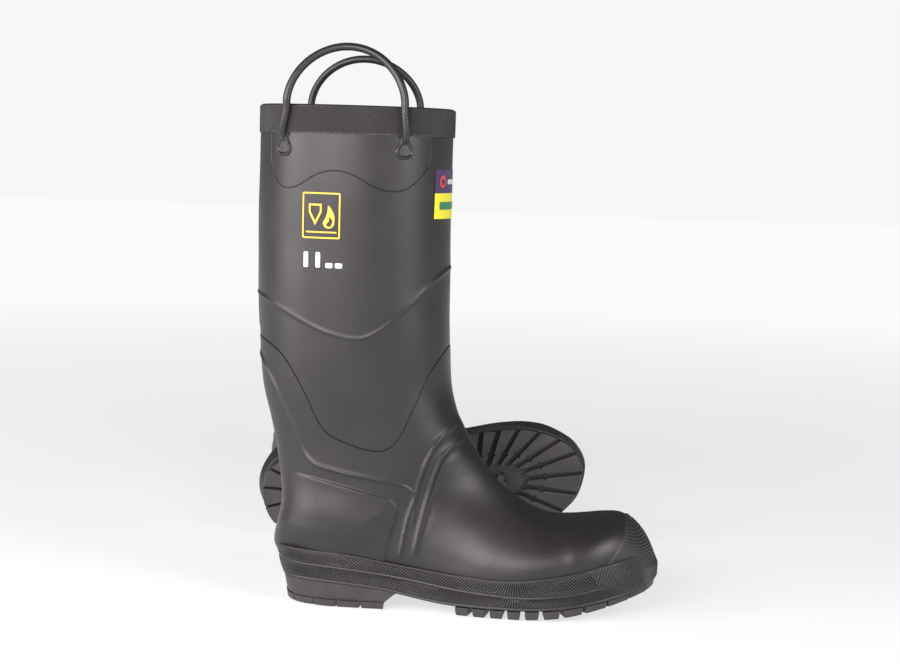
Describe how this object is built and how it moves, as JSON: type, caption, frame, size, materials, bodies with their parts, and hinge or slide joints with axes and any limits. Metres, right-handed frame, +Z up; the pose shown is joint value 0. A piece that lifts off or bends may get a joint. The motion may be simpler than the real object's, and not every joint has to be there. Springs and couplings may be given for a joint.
{
  "type": "fire boots",
  "caption": "Knee-high rubber fire boots with pull handles: one stands, its mate lies on its side showing a lugged tread.",
  "frame": {"origin": "on the ground, under the middle of the pair's bounding box", "axes": "+Z up, +X from heel to toe of the standing right boot, +Y from the standing boot towards the lying left one"},
  "size_m": [0.3926, 0.7236, 0.4492],
  "materials": {
    "rubber": "smooth satin, dark warm grey",
    "knurled_rubber": "finely knurled, matt",
    "tread_rubber": "matt, moulded",
    "lining_felt": "napped felt",
    "foam": "cellular sponge rubber",
    "fibre_board": "pressed fibre board",
    "steel": "cold rolled",
    "label_print": "printed, two colours"
  },
  "bodies": {
    "boots": {"right_leg_shell": "rubber", "right_vamp_shell": "rubber", "right_collar_band": "knurled_rubber", "right_top_panel_outer": "rubber", "right_top_panel_inner": "rubber", "right_back_strip": "rubber", "right_handle_foot_outer_rear": "rubber", "right_handle_foot_outer_front": "rubber", "right_handle_foot_inner_rear": "rubber", "right_handle_foot_inner_front": "rubber", "right_toe_cover": "knurled_rubber", "right_toe_bumper": "knurled_rubber", "right_foxing_upper": "knurled_rubber", "right_foxing_lower": "knurled_rubber", "right_midsole": "tread_rubber", "right_outsole": "tread_rubber", "right_heel_block": "tread_rubber", "right_lining": "lining_felt", "right_steel_toe_cap": "steel", "right_heel_counter": "foam", "right_ankle_guard": "foam", "right_shin_guard": "foam", "right_shank": "steel", "right_steel_midsole": "steel", "right_insole_board": "fibre_board", "right_footbed": "foam", "right_front_label": "label_print", "left_leg_shell": "rubber", "left_vamp_shell": "rubber", "left_collar_band": "knurled_rubber", "left_top_panel_outer": "rubber", "left_top_panel_inner": "rubber", "left_back_strip": "rubber", "left_handle_foot_outer_rear": "rubber", "left_handle_foot_outer_front": "rubber", "left_handle_foot_inner_rear": "rubber", "left_handle_foot_inner_front": "rubber", "left_toe_cover": "knurled_rubber", "left_toe_bumper": "knurled_rubber", "left_foxing_upper": "knurled_rubber", "left_foxing_lower": "knurled_rubber", "left_midsole": "tread_rubber", "left_outsole": "tread_rubber", "left_heel_block": "tread_rubber", "left_lining": "lining_felt", "left_steel_toe_cap": "steel", "left_heel_counter": "foam", "left_ankle_guard": "foam", "left_shin_guard": "foam", "left_shank": "steel", "left_steel_midsole": "steel", "left_insole_board": "fibre_board", "left_footbed": "foam", "left_front_label": "label_print"},
    "right_handle_outer": {"right_handle_outer": "rubber"},
    "right_handle_inner": {"right_handle_inner": "rubber"},
    "left_handle_outer": {"left_handle_outer": "rubber"},
    "left_handle_inner": {"left_handle_inner": "rubber"}
  },
  "joints": [
    {"name": "right_handle_outer_flex", "type": "hinge", "parent": "boots", "child": "right_handle_outer", "pos_m": [-0.05853, -0.35446, 0.402], "axis": [1, 0, 0], "range_deg": [-45, 80], "stiffness_Nm_per_rad": 0.4},
    {"name": "right_handle_inner_flex", "type": "hinge", "parent": "boots", "child": "right_handle_inner", "pos_m": [-0.05853, -0.23447, 0.402], "axis": [-1, 0, 0], "range_deg": [-45, 80], "stiffness_Nm_per_rad": 0.4},
    {"name": "left_handle_outer_flex", "type": "hinge", "parent": "boots", "child": "left_handle_outer", "pos_m": [-0.11293, 0.31539, 0.01099], "axis": [-0.9952, 0.0069, -0.0973], "range_deg": [-45, 80], "stiffness_Nm_per_rad": 0.4},
    {"name": "left_handle_inner_flex", "type": "hinge", "parent": "boots", "child": "left_handle_inner", "pos_m": [-0.12464, 0.30695, 0.13011], "axis": [0.9952, -0.0069, 0.0973], "range_deg": [-45, 80], "stiffness_Nm_per_rad": 0.4}
  ]
}
